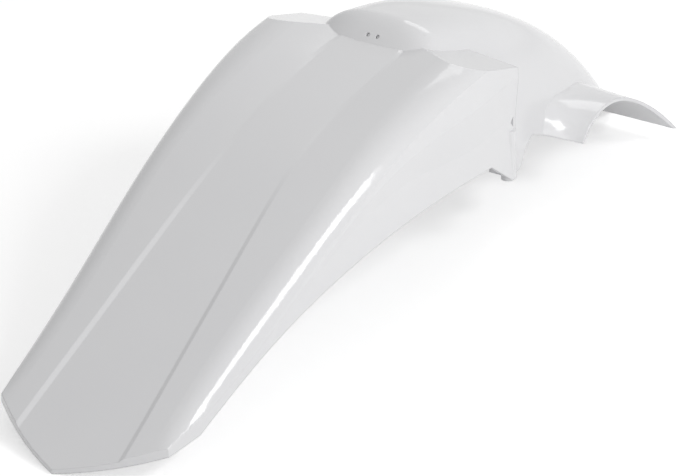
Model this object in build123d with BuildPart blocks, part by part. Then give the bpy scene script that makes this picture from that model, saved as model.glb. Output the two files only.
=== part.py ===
"""Rear fender of an off-road motorcycle: one moulded shell with a tail blade, a neck and two wings.

X is across, Y runs forward from the tail and Z is up. The fender stands on a floor as it would come to rest,
on its tail tip and on the front lip of its neck. Lengths along Y in the sizes below start at the tail tip.
"""

import os
from math import asin, atan2, cos, hypot, radians, sin, sqrt, tan

from build123d import *

os.makedirs("parts", exist_ok=True)

# Driving dimensions, in millimetres and degrees
wall = 3.0

# Blade seen from the side: a straight ramp, a long crown up to the brow, then a ledge that falls away
tip_height = 4.9
ramp_angle = 27.0
ramp_length = 200.0
crown_radius = 477.0
brow_y = 396.0
ledge_slope = 0.31
ledge_tilt = 0.1
ear_length = 51.0

# Blade seen from above: a V tail, then sides that flare towards the brow
tail_half_width = 67.5
tail_depth = 36.0
tail_bow = 3.0
brow_half_width = 93.5
flare_power = 0.7
blade_stations = (80.0, 130.0, 185.0, 245.0, 310.0, 380.0)
tail_run = 15.0

# Shallow channel between two creases along the tail
channel_half_width = 45.5
channel_taper = 0.066
channel_depth = 1.95
channel_length = 250.0
channel_fade = 4.0
channel_end = 0.05
channel_step = 3.5

# Roll from the flat top over the shoulder, with a rim that lifts towards the brow
tail_roll_width = 10.0
roll_width = 20.0
brow_roll_width = 32.0
roll_fullness = 0.65
tail_drop = 1.0
shoulder_drop = 12.5
shoulder_run = 70.0
brow_drop = 3.0
brow_lift = 5.0

# Side panel: shares of its height at the two edges of a long valley, which deepens towards the front
valley_start = 225.0
upper_share = 0.10
upper_share_gain = 0.18
lower_share = 0.33
lower_share_gain = 0.38
panel_bulge = 0.6
valley_crest = 1.5
valley_depth = 1.5
skirt_flare = 0.06

# Lower edge of the side panel, from the tail's lip over an arch to the tab
lip_slope = 0.43
skirt_start = 66.0
skirt_start_height = 19.0
arch_y = 335.0
arch_height = 80.0
arch_power = 2.3
arch_stations = (110.0, 180.0, 250.0)
tab_start = 411.0
tab_y = 441.0
tab_height = 54.0

# Neck: an arched hood that rises in a hump behind the brow and falls in a circle to the front
neck_height = 178.3
neck_radius = 447.2
neck_setback = 42.8
neck_reach = 308.0
neck_crown_x = 40.0
neck_crown_fall = 8.0
neck_shoulder_x = 57.0
neck_shoulder_fall = 30.0
neck_foot_x = 76.0
neck_foot_fall = 95.0
hump_height = 25.0
hump_setback = 13.0
hump_length = 30.0
hump_run = 12.0
neck_foot_height = 55.5
heel_rear_y = 470.0
heel_rear_height = 38.0
heel_front_y = 487.0
heel_front_height = 40.0
heel_top_y = 495.0
heel_top_height = 55.0
notch_y = 508.0
notch_height = 59.0
toe_y = 690.0
neck_steps = 36

# Wing on each side of the neck: an arch across the way, with a rim that flares at the front
wing_rear_y = 540.0
wing_rear_height = 45.0
wing_haunch_y = 552.0
wing_haunch_height = 57.5
wing_crown_y = 577.0
wing_crown_height = 64.0
wing_shoulder_y = 606.0
wing_shoulder_height = 58.5
wing_knee_y = 636.0
wing_knee_height = 40.5
wing_front_y = 661.0
wing_front_height = 14.5
wing_tilt = 0.05
wing_blend = 26.0
wing_sweep = 26.0
wing_lift = 14.0
wing_root_x = 52.0
wing_rim_x = 100.0
wing_tip_x = 120.0
rim_flare_y = 575.0
rim_flare = 0.38
wing_steps = 4
wing_steps_past_rim = 2

# Bead on the front edge of the tab, slot above it, bolt holes and moulding pips
bead_radius = 5.0
bead_length = 40.0
bead_proud = 1.5
slot_length = 3.5
slot_height = 8.0
slot_z = 100.0
bolt_radius = 3.25
bolt_x = 83.5
bolt_z = 122.0
pip_radius = 1.5
pip_depth = 0.8
pip_x = 4.0
pip_y = 398.0

# Values that follow from the driving dimensions
ramp = radians(ramp_angle)
crown_y = ramp_length + crown_radius * sin(ramp)
crown_z = tip_height + ramp_length * tan(ramp) - crown_radius * cos(ramp)
ear_y = brow_y + ear_length
overall_length = brow_y + neck_reach
tail_y = -overall_length / 2
neck_y = brow_y - neck_setback
neck_z = neck_height - neck_radius
hump_y = brow_y - hump_setback

# Cutting blocks reach this far past the shell
spare = 60.0
reach = overall_length


def smooth(t):
    """Ease from 0 to 1 as t runs from 0 to 1."""
    t = min(max(t, 0.0), 1.0)
    return t * t * (3.0 - 2.0 * t)


def cross_plane(y):
    """Upright plane across the fender at y."""
    return Plane(origin=(0, tail_y + y, 0), x_dir=(1, 0, 0), z_dir=(0, -1, 0))


def side_plane(x):
    """Upright plane along the fender at x."""
    return Plane(origin=(x, tail_y, 0), x_dir=(0, 1, 0), z_dir=(1, 0, 0))


def plan_plane(z):
    """Level plane at height z."""
    return Plane(origin=(0, tail_y, z))


def top_height(y):
    """Height of the blade's flat top at y."""
    if y < ramp_length:
        return tip_height + y * tan(ramp)
    return crown_z + sqrt(crown_radius**2 - (y - crown_y) ** 2)


def top_slope(y):
    """Slope of the blade's top at y, in radians."""
    return min(ramp, asin((crown_y - y) / crown_radius))


def half_width(y):
    """Half width of the blade between its shoulders at y."""
    share = min(max((y - tail_depth) / (brow_y - tail_depth), 0.0), 1.0)
    return tail_half_width + (brow_half_width - tail_half_width) * share**flare_power


def skirt_height(y):
    """Height of the side panel's lower edge at y."""
    share = abs(arch_y - y) / (arch_y - skirt_start)
    return arch_height - (arch_height - skirt_start_height) * share**arch_power


def crest_radius(y):
    """Radius of the neck's crest about its axis at y, which grows over the hump."""
    return neck_radius - hump_height * (1.0 - smooth((y - hump_y) / hump_length))


def crest_height(y):
    """Height of the neck's crest at y."""
    return neck_z + crest_radius(y) * cos(asin((y - neck_y) / neck_radius))


def blade_section(y, inset):
    """Draw the blade's closed cross-section at y, with its skin set in by inset."""
    tail = smooth((y - tail_depth) / shoulder_run)
    front = smooth((y - ramp_length) / (brow_y - ramp_length))
    valley = smooth((y - valley_start) / (brow_y - valley_start))
    top = top_height(y) - inset / cos(top_slope(y))
    floor = top - channel_depth * max(channel_end, 1.0 - (abs(y) / channel_length) ** channel_fade)
    crease = channel_half_width - channel_taper * min(y, channel_length)
    width = half_width(y) - inset
    roll = tail_roll_width + (roll_width - tail_roll_width) * tail + (brow_roll_width - roll_width) * front
    roll_start = width - roll
    roll_pull = roll_start + roll_fullness * roll
    rim = top + brow_lift * front
    pull = rim + (rim - top) * (roll_pull - roll_start) / (roll_start - crease)
    drop = tail_drop + (shoulder_drop - tail_drop) * tail + (brow_drop - shoulder_drop) * front
    shoulder = top - drop - inset * roll_fullness
    panel = shoulder - skirt_height(y)
    upper_z = shoulder - panel * (upper_share + upper_share_gain * valley)
    lower_z = shoulder - panel * (lower_share + lower_share_gain * valley)
    upper_x = width + panel_bulge + valley_crest * valley
    lower_x = width + panel_bulge - valley_depth * valley
    foot_x = lower_x + skirt_flare * (lower_z + spare)
    with BuildSketch(cross_plane(y)) as section:
        with BuildLine():
            Polyline((0, floor), (crease - channel_step, floor), (crease, top), (roll_start, rim))
            Bezier((roll_start, rim), (roll_pull, pull), (width, shoulder))
            Polyline((width, shoulder), (upper_x, upper_z), (lower_x, lower_z), (foot_x, -spare), (0, -spare))
            mirror(about=Plane.YZ)
        make_face()
    return section.sketch


def neck_section(angle, inset, depth):
    """Draw the neck's arched section in a plane through its axis, with its skin set in by inset."""
    crest = crest_radius(neck_y + neck_radius * sin(angle))
    crown_tilt = atan2(neck_shoulder_fall, neck_shoulder_x)
    shoulder_tilt = atan2(neck_foot_fall - neck_crown_fall, neck_foot_x - neck_crown_x)
    crown_x = neck_crown_x - inset * sin(crown_tilt)
    crown_height = crest - neck_crown_fall - inset * cos(crown_tilt)
    shoulder_x = neck_shoulder_x - inset * sin(shoulder_tilt)
    shoulder_height = crest - neck_shoulder_fall - inset * cos(shoulder_tilt)
    foot_x = neck_foot_x - inset
    foot_height = crest - neck_foot_fall
    right = [(crown_x, crown_height), (shoulder_x, shoulder_height), (foot_x, foot_height)]
    left = [(-x, height) for x, height in reversed(right)]
    plane = Plane(origin=(0, tail_y + neck_y, neck_z), x_dir=(1, 0, 0), z_dir=(0, -cos(angle), sin(angle)))
    with BuildSketch(plane) as section:
        with BuildLine():
            Spline(*left, (0, crest - inset), *right)
            Polyline(right[-1], (foot_x, foot_height - depth), (-foot_x, foot_height - depth), left[0])
        make_face()
    return section.sketch


def wing_section(x, inset, depth):
    """Draw a wing's arched section at x, with its skin set in by inset and its feet taken down by depth."""
    share = (wing_rim_x - x) / (wing_rim_x - wing_root_x)
    sweep = smooth(share)
    rise = wing_tilt * (wing_rim_x - x)
    blend = wing_blend * max(share, 0.0) ** 3
    slant = inset / hypot(1.0, 1.0)
    rear = (wing_rear_y - wing_sweep * sweep + inset, wing_rear_height + wing_lift * sweep)
    haunch_y = wing_haunch_y - wing_sweep * sweep
    haunch = (haunch_y + slant, wing_haunch_height + rise + blend - slant)
    crown = (wing_crown_y, wing_crown_height + rise - inset)
    shoulder = (wing_shoulder_y - slant, wing_shoulder_height + rise - slant)
    knee = (wing_knee_y - slant, wing_knee_height + rise - slant)
    front = (wing_front_y - inset, wing_front_height)
    with BuildSketch(side_plane(x)) as section:
        with BuildLine():
            Spline(rear, haunch, crown, shoulder, knee, front)
            Polyline(front, (front[0], front[1] - depth), (rear[0], rear[1] - depth), rear)
        make_face()
    return section.sketch


def tail_outline(setback):
    """Draw the V of the tail in plan, with bowed edges, open to the front and with its point set back."""
    edge = hypot(tail_half_width, tail_depth)
    middle_x = tail_half_width / 2 + tail_bow * tail_depth / edge
    middle_y = tail_depth / 2 - tail_bow * tail_half_width / edge
    corner = (tail_half_width, tail_depth + setback)
    side_x = tail_half_width + reach
    side_y = corner[1] + reach * tail_depth / tail_half_width
    with BuildSketch(plan_plane(-spare)) as outline:
        with BuildLine():
            ThreePointArc((0, setback), (middle_x, middle_y + setback), corner)
            Polyline(corner, (side_x, side_y), (side_x, 2 * reach), (0, 2 * reach))
            mirror(about=Plane.YZ)
        make_face()
    return outline.sketch


def ledge_cut(inset):
    """Make the block above the ledges, which fall to the front and to both sides, set in by inset."""
    with BuildPart() as block:
        start = (brow_half_width, tail_y + brow_y, top_height(brow_y))
        ledge = Plane(origin=start, x_dir=(1, 0, -ledge_tilt), z_dir=(ledge_tilt, ledge_slope, 1))
        with BuildSketch(ledge.offset(-inset)):
            Rectangle(2 * reach, 2 * reach)
        extrude(amount=reach)
        mirror(about=Plane.YZ)
    return block.part


# Blade, outside
stations = [-tail_run, tail_depth, *blade_stations, ear_y + tail_run]
arch_ys = [skirt_start, *arch_stations, arch_y, tab_start]
lip_height = lip_slope * tail_depth
with BuildPart() as blade_outer:
    loft(sections=[blade_section(y, 0) for y in stations])
    with BuildSketch(side_plane(0)):
        with BuildLine():
            Spline(*[(y, skirt_height(y)) for y in arch_ys])
            Polyline((tab_start, skirt_height(tab_start)), (tab_y, tab_height), (ear_y, tab_height))
            Polyline((ear_y, tab_height), (ear_y, reach), (-spare, reach))
            Polyline((-spare, reach), (-spare, -lip_slope * spare), (tail_depth, lip_height))
            Line((tail_depth, lip_height), (skirt_start, skirt_height(skirt_start)))
        make_face()
    extrude(amount=reach, both=True, mode=Mode.INTERSECT)
    extrude(tail_outline(0), amount=reach, mode=Mode.INTERSECT)
    add(ledge_cut(0), mode=Mode.SUBTRACT)

# Blade, inside
tail_inset = wall * hypot(1.0, tail_depth / tail_half_width)
inner_ear_y = ear_y - wall
with BuildPart() as blade_inner:
    loft(sections=[blade_section(y, wall) for y in stations])
    with BuildSketch(side_plane(0)):
        with BuildLine():
            Polyline((-spare, -reach), (inner_ear_y, -reach), (inner_ear_y, reach), (-spare, reach))
            Line((-spare, reach), (-spare, -reach))
        make_face()
    extrude(amount=reach, both=True, mode=Mode.INTERSECT)
    extrude(tail_outline(tail_inset), amount=reach, mode=Mode.INTERSECT)
    add(ledge_cut(wall), mode=Mode.SUBTRACT)

# Wings, outside and inside
wing_step = (wing_rim_x - wing_root_x) / wing_steps
wing_xs = [wing_root_x + wing_step * i for i in range(wing_steps + wing_steps_past_rim + 1)]
with BuildPart() as wings_outer:
    loft(sections=[wing_section(x, 0, spare) for x in wing_xs])
    with BuildSketch(plan_plane(-spare)):
        with BuildLine():
            Polyline((0, wing_rear_y - spare), (wing_rim_x, wing_rear_y - spare), (wing_rim_x, rim_flare_y))
            Spline((wing_rim_x, rim_flare_y), (wing_tip_x, wing_front_y), tangents=((0, 1), (rim_flare, 1)))
            Line((wing_tip_x, wing_front_y), (wing_tip_x, wing_front_y + spare))
            Polyline((wing_tip_x, wing_front_y + spare), (0, wing_front_y + spare), (0, wing_rear_y - spare))
        make_face()
    extrude(amount=reach, mode=Mode.INTERSECT)
    mirror(about=Plane.YZ)

with BuildPart() as wings_inner:
    loft(sections=[wing_section(x, wall, 2 * spare) for x in wing_xs])
    mirror(about=Plane.YZ)

# Neck with the wings on it, outside, and the neck's inside
rear_angle = asin((hump_y - hump_run - neck_y) / neck_radius)
front_angle = asin((overall_length - neck_y) / neck_radius)
neck_step = (front_angle - rear_angle) / neck_steps
neck_angles = [rear_angle + neck_step * i for i in range(neck_steps + 1)]
hood_profile = [
    (hump_y - spare, neck_foot_height),
    (ear_y, neck_foot_height),
    (heel_rear_y, heel_rear_height),
    (heel_front_y, heel_front_height),
    (heel_top_y, heel_top_height),
    (notch_y, notch_height),
    (wing_rear_y, wing_rear_height),
    (wing_front_y, wing_front_height),
    (toe_y, 0),
    (overall_length + spare, 0),
    (overall_length + spare, reach),
    (hump_y - spare, reach),
]
with BuildPart() as hood_outer:
    loft(sections=[neck_section(angle, 0, spare) for angle in neck_angles])
    add(wings_outer.part)
    with BuildSketch(side_plane(0)):
        with BuildLine():
            Polyline(*hood_profile, close=True)
        make_face()
    extrude(amount=reach, both=True, mode=Mode.INTERSECT)

with BuildPart() as neck_inner:
    loft(sections=[neck_section(angle, wall, 2 * spare) for angle in neck_angles + [front_angle + neck_step]])

# Bead, slot, bolt hole and pip of the right-hand side
bead_x = brow_half_width + bead_proud - bead_radius
slot_y = inner_ear_y - slot_length
slot_low = slot_z - slot_height / 2
slot_high = slot_z + slot_height / 2
pip_slope = (crest_height(pip_y + pip_radius) - crest_height(pip_y - pip_radius)) / (2 * pip_radius)
pip_start = (pip_x, tail_y + pip_y, crest_height(pip_y))
pip_face = Plane(origin=pip_start, x_dir=(1, 0, 0), z_dir=(0, -pip_slope, 1))
with BuildPart() as beads:
    with BuildSketch(plan_plane(tab_height)):
        with Locations((bead_x, ear_y - bead_radius)):
            Circle(bead_radius)
    extrude(amount=bead_length)
    mirror(about=Plane.YZ)

with BuildPart() as cuts:
    with BuildSketch(side_plane(bead_x)):
        with BuildLine():
            Polyline((slot_y, slot_z), (inner_ear_y, slot_low), (inner_ear_y, slot_high), close=True)
        make_face()
    extrude(amount=spare)
    with BuildSketch(cross_plane(ear_y + wall)):
        with Locations((bolt_x, bolt_z)):
            Circle(bolt_radius)
    extrude(amount=3 * wall)
    with BuildSketch(pip_face.offset(-pip_depth)):
        Circle(pip_radius)
    extrude(amount=2 * pip_radius)
    mirror(about=Plane.YZ)

# Whole shell
with BuildPart() as rear_fender:
    add(blade_outer.part)
    add(hood_outer.part)
    add(blade_inner.part, mode=Mode.SUBTRACT)
    add(neck_inner.part, mode=Mode.SUBTRACT)
    add(wings_inner.part, mode=Mode.SUBTRACT)
    add(beads.part)
    add(cuts.part, mode=Mode.SUBTRACT)

rear_fender.part.label = "rear_fender"
export_step(rear_fender.part, "parts/rear_fender.step")
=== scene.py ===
"""Looks of a white moulded rear fender for an off-road motorcycle, dressed on its CAD solid in a small studio."""

import logging
import math
from dataclasses import dataclass, field
from enum import Enum
from typing import Any

import bpy
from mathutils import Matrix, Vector


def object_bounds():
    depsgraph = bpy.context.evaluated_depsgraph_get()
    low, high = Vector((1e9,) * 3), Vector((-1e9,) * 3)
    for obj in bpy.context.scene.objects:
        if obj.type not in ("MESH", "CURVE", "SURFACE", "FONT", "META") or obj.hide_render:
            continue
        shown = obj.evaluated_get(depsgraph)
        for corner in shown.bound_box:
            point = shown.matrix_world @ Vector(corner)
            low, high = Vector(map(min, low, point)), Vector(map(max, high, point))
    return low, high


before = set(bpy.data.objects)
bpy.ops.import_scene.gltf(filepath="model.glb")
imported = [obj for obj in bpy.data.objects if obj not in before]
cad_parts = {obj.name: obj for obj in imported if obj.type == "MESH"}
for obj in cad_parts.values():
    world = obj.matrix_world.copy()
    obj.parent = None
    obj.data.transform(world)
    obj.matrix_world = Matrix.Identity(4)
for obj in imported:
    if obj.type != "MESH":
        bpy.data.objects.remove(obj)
CAD_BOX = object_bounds()

LOG = logging.getLogger("rear_fender")
MM = 0.001
SHELL_NODE = "rear_fender"

# The sRGB curve: a straight toe, then a power
SRGB_TOE = 0.04045
SRGB_SLOPE = 12.92
SRGB_OFFSET = 0.055
SRGB_POWER = 2.4
BYTE = 255

# Sockets of Blender's Mix node, which has one set of them for numbers and one for colours
NUMBER_A, NUMBER_B, NUMBER_MIXED = 2, 3, 0
COLOUR_A, COLOUR_B, COLOUR_MIXED = 6, 7, 2

Colour = tuple[float, float, float, float]
Point = tuple[float, float, float]


class LampRole(Enum):
    """What a lamp does in the studio."""

    KEY = "key"
    FILL = "fill"
    BACK = "back"


def linear(hex_colour: str) -> Colour:
    """Turn an sRGB hex colour into linear light.

    Args:
        hex_colour: Six hex digits after a hash sign.

    Returns:
        Red, green and blue in linear light, with an alpha of 1.
    """
    shares = [int(hex_colour[i : i + 2], 16) / BYTE for i in (1, 3, 5)]
    red, green, blue = (
        share / SRGB_SLOPE if share <= SRGB_TOE else ((share + SRGB_OFFSET) / (1 + SRGB_OFFSET)) ** SRGB_POWER
        for share in shares
    )
    return red, green, blue, 1.0


def add_node(
    tree: bpy.types.NodeTree, kind: str, inputs: dict[str | int, Any] | None = None, **settings: Any
) -> bpy.types.Node:
    """Add a node with its settings, and link or set its inputs.

    Args:
        tree: The node tree that gets the node.
        kind: Blender's name of the node's type.
        inputs: For each socket, by name or number, a value or the output that feeds it.
        settings: Values of the node's own settings.

    Returns:
        The new node.
    """
    node = tree.nodes.new(kind)
    for name, value in settings.items():
        setattr(node, name, value)
    for socket, value in (inputs or {}).items():
        if isinstance(value, bpy.types.NodeSocket):
            tree.links.new(value, node.inputs[socket])
        else:
            node.inputs[socket].default_value = value
    return node


def empty_material(name: str) -> bpy.types.Material:
    """Make a material with an empty node tree.

    Args:
        name: The material's name.

    Returns:
        The new material.
    """
    material = bpy.data.materials.new(name)
    material.use_nodes = True
    material.node_tree.nodes.clear()
    return material


@dataclass(frozen=True)
class MouldedPolypropylene:
    """White polypropylene, injection moulded, with a polished show side and a plain inner side.

    The mould's polished half leaves the outside glossy with a faint orange peel, and its eroded core leaves the
    inside dull with a fine grain. The colour is in the plastic, so only a slow mottle from its flow shows.
    Lengths are in millimetres.
    """

    name: str = "white_polypropylene_moulded"
    white: str = "#EDEDEE"
    flow_white: str = "#E8E8EA"
    ior: float = 1.49
    gloss_roughness: float = 0.12
    gloss_variation: float = 0.02
    inner_roughness: float = 0.48
    # How far a face looks in and down before it has the inner side's full finish
    inner_turn: float = 0.2
    # The edges are rounded in the shading only
    edge_round: float = 1.2
    edge_samples: int = 8
    # Real orange peel waves are about 1 mm apart; drawn at 6 mm, as finer ones would not show at this distance
    peel_spacing: float = 6.0
    peel_height: float = 0.02
    peel_detail: float = 1.0
    # Eroded grain is about 0.1 mm; drawn at 0.9 mm so that it shows
    grain_spacing: float = 0.9
    grain_height: float = 0.05
    grain_detail: float = 2.0
    flow_spacing: float = 90.0
    flow_detail: float = 3.0

    def make(self) -> bpy.types.Material:
        """Build the material's nodes.

        Returns:
            The material.
        """
        material = empty_material(self.name)
        tree = material.node_tree
        place = add_node(tree, "ShaderNodeTexCoord").outputs["Object"]
        inner = self.inner_share(tree, place)
        flow = add_node(
            tree,
            "ShaderNodeTexNoise",
            {"Vector": place, "Scale": 1 / (self.flow_spacing * MM), "Detail": self.flow_detail},
        )
        colour = add_node(
            tree,
            "ShaderNodeMix",
            {"Factor": flow.outputs["Fac"], COLOUR_A: linear(self.white), COLOUR_B: linear(self.flow_white)},
            data_type="RGBA",
        )
        gloss = add_node(
            tree,
            "ShaderNodeMapRange",
            {
                "Value": flow.outputs["Fac"],
                "To Min": self.gloss_roughness - self.gloss_variation,
                "To Max": self.gloss_roughness + self.gloss_variation,
            },
        )
        roughness = add_node(
            tree,
            "ShaderNodeMix",
            {"Factor": inner, NUMBER_A: gloss.outputs["Result"], NUMBER_B: self.inner_roughness},
        )
        shader = add_node(
            tree,
            "ShaderNodeBsdfPrincipled",
            {
                "Base Color": colour.outputs[COLOUR_MIXED],
                "Roughness": roughness.outputs[NUMBER_MIXED],
                "IOR": self.ior,
                "Normal": self.surface(tree, place, inner),
            },
        )
        add_node(tree, "ShaderNodeOutputMaterial", {"Surface": shader.outputs["BSDF"]})
        return material

    def inner_share(self, tree: bpy.types.NodeTree, place: bpy.types.NodeSocket) -> bpy.types.NodeSocket:
        """Tell the inner side from the show side, by whether the face looks in and down or out and up.

        Args:
            tree: The material's node tree.
            place: The place on the fender.

        Returns:
            An output that is 1 on the inner side and 0 on the show side.
        """
        side = add_node(tree, "ShaderNodeSeparateXYZ", {"Vector": place})
        sign = add_node(tree, "ShaderNodeMath", {0: side.outputs["X"]}, operation="SIGN")
        outward = add_node(tree, "ShaderNodeCombineXYZ", {"X": sign.outputs[0], "Z": 1.0})
        facing = add_node(
            tree,
            "ShaderNodeVectorMath",
            {0: add_node(tree, "ShaderNodeNewGeometry").outputs["Normal"], 1: outward.outputs[0]},
            operation="DOT_PRODUCT",
        )
        share = add_node(
            tree,
            "ShaderNodeMapRange",
            {
                "Value": facing.outputs["Value"],
                "From Min": 0.0,
                "From Max": -self.inner_turn,
                "To Min": 0.0,
                "To Max": 1.0,
            },
        )
        return share.outputs["Result"]

    def surface(
        self, tree: bpy.types.NodeTree, place: bpy.types.NodeSocket, inner: bpy.types.NodeSocket
    ) -> bpy.types.NodeSocket:
        """Round the edges, then add the orange peel outside and the grain inside.

        Args:
            tree: The material's node tree.
            place: The place on the fender.
            inner: The output that is 1 on the inner side.

        Returns:
            The output with the surface's normal.
        """
        edge = add_node(tree, "ShaderNodeBevel", {"Radius": self.edge_round * MM}, samples=self.edge_samples)
        peel = add_node(
            tree,
            "ShaderNodeTexNoise",
            {"Vector": place, "Scale": 1 / (self.peel_spacing * MM), "Detail": self.peel_detail},
        )
        peeled = add_node(
            tree,
            "ShaderNodeBump",
            {"Distance": self.peel_height * MM, "Height": peel.outputs["Fac"], "Normal": edge.outputs["Normal"]},
        )
        grain = add_node(
            tree,
            "ShaderNodeTexNoise",
            {"Vector": place, "Scale": 1 / (self.grain_spacing * MM), "Detail": self.grain_detail},
        )
        grained = add_node(
            tree,
            "ShaderNodeBump",
            {
                "Strength": inner,
                "Distance": self.grain_height * MM,
                "Height": grain.outputs["Fac"],
                "Normal": peeled.outputs["Normal"],
            },
        )
        return grained.outputs["Normal"]


@dataclass(frozen=True)
class PaperSweep:
    """Matt white studio paper, coated flat, so it has no gloss and takes a soft shadow.

    To the camera and in reflections it is topped up to white, without lighting the fender.
    """

    name: str = "studio_paper"
    white: str = "#F2F2F2"
    top_up: float = 0.46

    def make(self) -> bpy.types.Material:
        """Build the material's nodes.

        Returns:
            The material.
        """
        material = empty_material(self.name)
        tree = material.node_tree
        paper = add_node(tree, "ShaderNodeBsdfDiffuse", {"Color": linear(self.white)})
        lift = add_node(tree, "ShaderNodeEmission", {"Strength": self.top_up})
        lifted = add_node(tree, "ShaderNodeAddShader", {0: paper.outputs[0], 1: lift.outputs[0]})
        surface = add_node(
            tree,
            "ShaderNodeMixShader",
            {0: seen_directly(tree), 1: paper.outputs[0], 2: lifted.outputs[0]},
        )
        add_node(tree, "ShaderNodeOutputMaterial", {"Surface": surface.outputs[0]})
        return material


def seen_directly(tree: bpy.types.NodeTree) -> bpy.types.NodeSocket:
    """Tell rays that show the background, from the camera or in a reflection, from rays that light the fender.

    Args:
        tree: The node tree that gets the nodes.

    Returns:
        An output that is 1 for camera, glossy and transmission rays.
    """
    path = add_node(tree, "ShaderNodeLightPath")
    shown = path.outputs["Is Camera Ray"]
    for name in ("Is Glossy Ray", "Is Transmission Ray"):
        shown = add_node(tree, "ShaderNodeMath", {0: shown, 1: path.outputs[name]}, operation="MAXIMUM").outputs[0]
    return shown


@dataclass
class FenderShell:
    """The one-piece fender: its CAD solid, shown as it is and finished as moulded plastic."""

    finish: MouldedPolypropylene = field(default_factory=MouldedPolypropylene)

    def build(self) -> list[bpy.types.Object]:
        """Dress the CAD solid.

        Returns:
            The pieces of the fender.
        """
        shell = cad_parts[SHELL_NODE]
        shell.material_slots[0].material = self.finish.make()
        return [shell]


@dataclass(frozen=True)
class SoftBox:
    """A rectangular studio lamp that faces the fender, with its lengths in metres."""

    role: LampRole
    towards: Point
    distance: float
    width: float
    height: float
    watts: float

    def build(self, target: Vector) -> bpy.types.Object:
        """Make the lamp and aim it.

        Args:
            target: The point that the lamp faces.

        Returns:
            The lamp.
        """
        lamp = bpy.data.lights.new(f"{self.role.value}_softbox", "AREA")
        lamp.shape = "RECTANGLE"
        lamp.size = self.width
        lamp.size_y = self.height
        lamp.energy = self.watts
        lit = bpy.data.objects.new(lamp.name, lamp)
        bpy.context.scene.collection.objects.link(lit)
        way = Vector(self.towards).normalized()
        lit.location = target + way * self.distance
        lit.rotation_euler = way.to_track_quat("Z", "Y").to_euler()
        return lit


@dataclass
class Studio:
    """Paper floor, soft lamps and even light from all round.

    The floor's size is in metres, and its gap under the fender in millimetres.
    """

    floor_size: float = 24.0
    floor_gap: float = 0.3
    ambient: float = 0.42
    backdrop: str = "#FFFFFF"
    backdrop_strength: float = 1.0
    paper: PaperSweep = field(default_factory=PaperSweep)
    lamps: tuple[SoftBox, ...] = (
        # To the right of the fender and above it
        SoftBox(
            role=LampRole.KEY, towards=(0.73, 0.02, 0.68), distance=1.6, width=0.6, height=0.4, watts=7.0
        ),
        # Low on the right, behind the tail
        SoftBox(
            role=LampRole.FILL, towards=(0.8, -0.5, 0.35), distance=2.2, width=1.8, height=1.4, watts=9.5
        ),
        # Above the neck and in front of it
        SoftBox(
            role=LampRole.BACK, towards=(-0.15, 0.75, 0.64), distance=2.0, width=0.8, height=0.9, watts=4.0
        ),
    )

    def build(self) -> None:
        """Lay the floor, light the world and set up the lamps."""
        self.lay_floor()
        self.light_world()
        low, high = CAD_BOX
        for lamp in self.lamps:
            LOG.info("lamp %s", lamp.build((low + high) / 2).name)

    def lay_floor(self) -> None:
        """Lay the paper just under the fender's lowest point."""
        half = self.floor_size / 2
        level = CAD_BOX[0].z - self.floor_gap * MM
        mesh = bpy.data.meshes.new("studio_floor")
        corners = [(-half, -half, level), (half, -half, level), (half, half, level), (-half, half, level)]
        mesh.from_pydata(corners, [], [(0, 1, 2, 3)])
        mesh.materials.append(self.paper.make())
        floor = bpy.data.objects.new("studio_floor", mesh)
        bpy.context.scene.collection.objects.link(floor)

    def light_world(self) -> None:
        """Light the scene evenly, with a backdrop that shows as white."""
        world = bpy.data.worlds.new("studio_world")
        world.use_nodes = True
        tree = world.node_tree
        tree.nodes.clear()
        strength = add_node(
            tree,
            "ShaderNodeMix",
            {"Factor": seen_directly(tree), NUMBER_A: self.ambient, NUMBER_B: self.backdrop_strength},
        )
        light = add_node(
            tree,
            "ShaderNodeBackground",
            {"Color": linear(self.backdrop), "Strength": strength.outputs[NUMBER_MIXED]},
        )
        add_node(tree, "ShaderNodeOutputWorld", {"Surface": light.outputs[0]})
        bpy.context.scene.world = world


@dataclass
class StudioCamera:
    """A long lens behind, above and to the right of the tail.

    Its place is in metres, its angles in degrees, and its lens and sensor in millimetres.
    """

    place: Point = (1.1095, -1.7619, 1.0954)
    azimuth: float = 32.18
    elevation: float = 27.33
    lens: float = 169.41
    sensor: float = 36.0

    def build(self) -> bpy.types.Object:
        """Make the camera and set it as the scene's own.

        Returns:
            The camera.
        """
        data = bpy.data.cameras.new("studio_camera")
        data.lens = self.lens
        data.sensor_width = self.sensor
        camera = bpy.data.objects.new(data.name, data)
        camera.location = self.place
        camera.rotation_euler = (math.radians(90 - self.elevation), 0.0, math.radians(self.azimuth))
        bpy.context.scene.collection.objects.link(camera)
        bpy.context.scene.camera = camera
        return camera


def main() -> None:
    """Build the camera, the fender and the studio in order, and report each piece."""
    logging.basicConfig(level=logging.INFO, format="%(name)s: %(message)s")
    bpy.context.scene.view_settings.view_transform = "Standard"
    StudioCamera().build()
    for piece in FenderShell().build():
        LOG.info("piece %s with %d faces", piece.name, len(piece.data.polygons))
    Studio().build()


if __name__ == "__main__":
    main()
